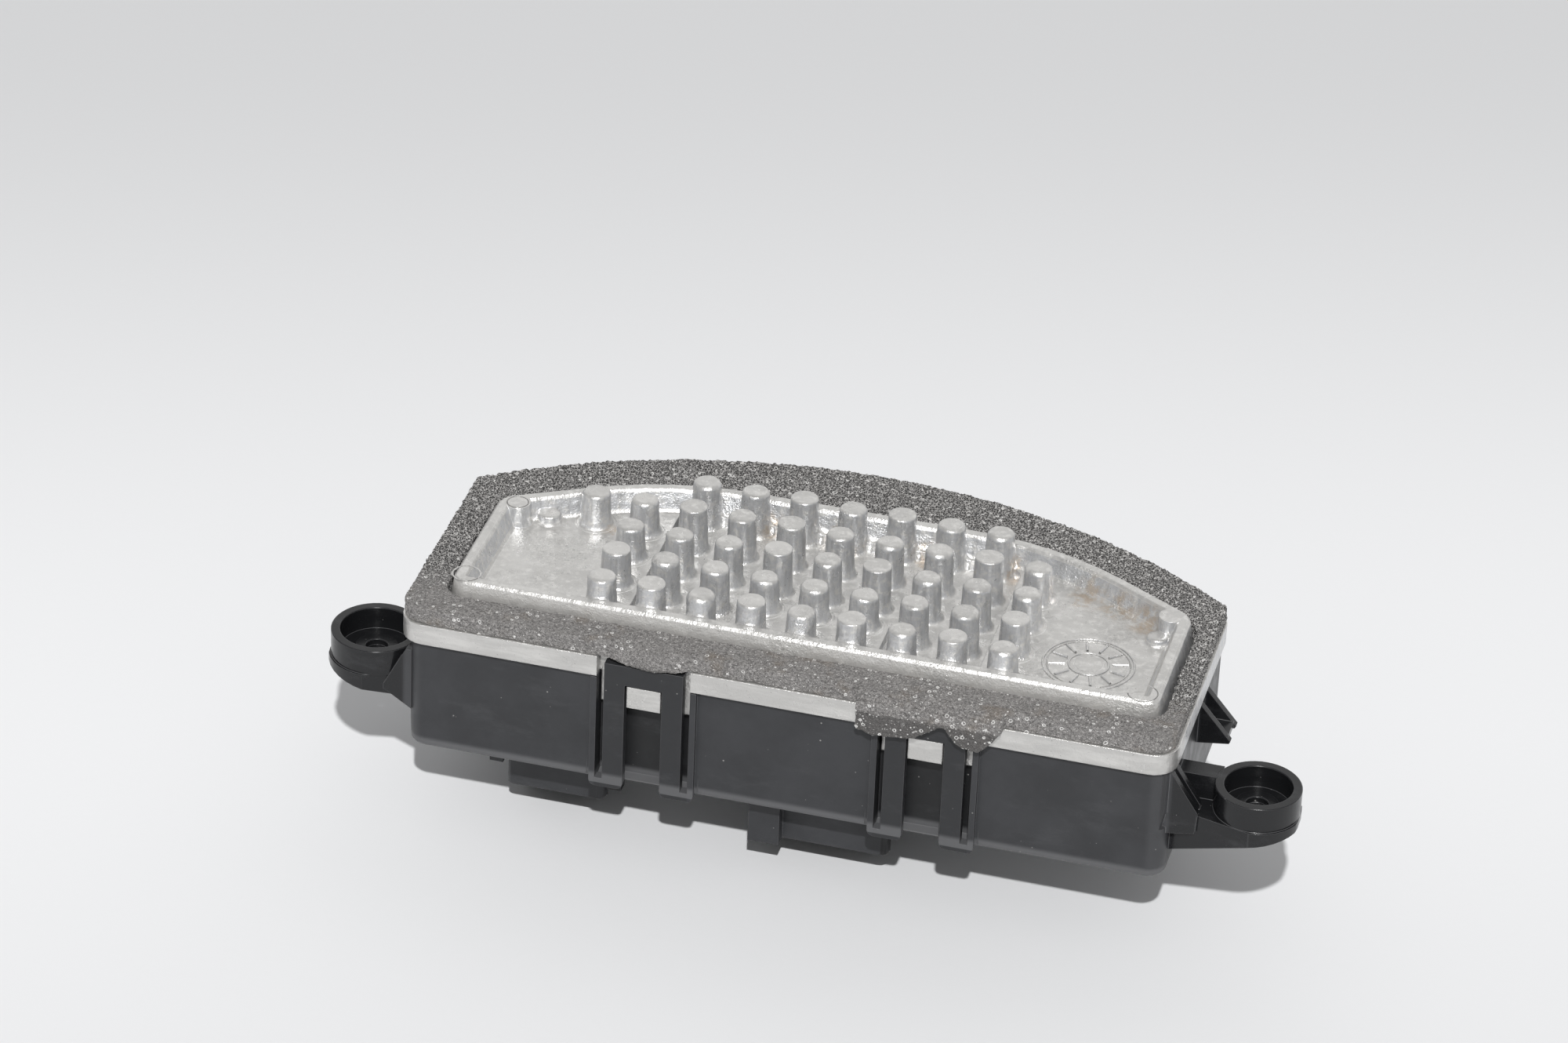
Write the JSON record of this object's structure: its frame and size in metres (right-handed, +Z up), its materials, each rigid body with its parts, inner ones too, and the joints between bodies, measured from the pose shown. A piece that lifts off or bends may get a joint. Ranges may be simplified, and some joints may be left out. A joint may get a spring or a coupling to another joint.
{
  "type": "heater blower resistor",
  "caption": "Blower speed controller for a vehicle heater: a pin-fin die-cast heat sink with a foam seal, latched onto a moulded housing with screw ears and plug sockets.",
  "frame": {"origin": "middle of the footprint, on the surface that the plug sockets stand on", "axes": "+X along the front edge towards the right ear, +Y towards the curved rear edge, +Z up out of the pins"},
  "size_m": [0.1549, 0.0634, 0.045],
  "materials": {
    "housing": "moulded black plastic, satin",
    "heat_sink": "die-cast aluminium, as cast",
    "foam_gasket": "open-cell foam",
    "circuit_board": "glass-filled board with green lacquer",
    "contact_metal": "tinned contact metal",
    "screw_steel": "plated steel",
    "spring_steel": "spring steel",
    "moulding_compound": "black moulding compound",
    "insulating_pad": "grey heat-conducting pad",
    "capacitor_sleeve": "shrink sleeve",
    "ferrite": "sintered ferrite",
    "winding_copper": "enamelled copper wire",
    "shunt_metal": "resistance metal strip"
  },
  "bodies": {
    "root": {"housing": "housing", "heat_sink": "heat_sink", "foam_gasket": "foam_gasket", "circuit_board": "circuit_board", "motor_blade_left": "contact_metal", "motor_blade_right": "contact_metal", "supply_blade_left": "contact_metal", "supply_blade_right": "contact_metal", "signal_pin_1": "contact_metal", "signal_pin_2": "contact_metal", "signal_pin_3": "contact_metal", "board_screw_1": "screw_steel", "board_screw_2": "screw_steel", "board_screw_3": "screw_steel", "clamp_screw": "screw_steel", "clamp_spring": "spring_steel", "transistor_left": "moulding_compound", "transistor_right": "moulding_compound", "control_chip": "moulding_compound", "suppressor_diode": "moulding_compound", "insulating_pad_left": "insulating_pad", "insulating_pad_right": "insulating_pad", "capacitor_left": "capacitor_sleeve", "capacitor_right": "capacitor_sleeve", "small_capacitor": "capacitor_sleeve", "choke_core": "ferrite", "choke_winding": "winding_copper", "shunt_resistor": "shunt_metal"}
  },
  "joints": []
}
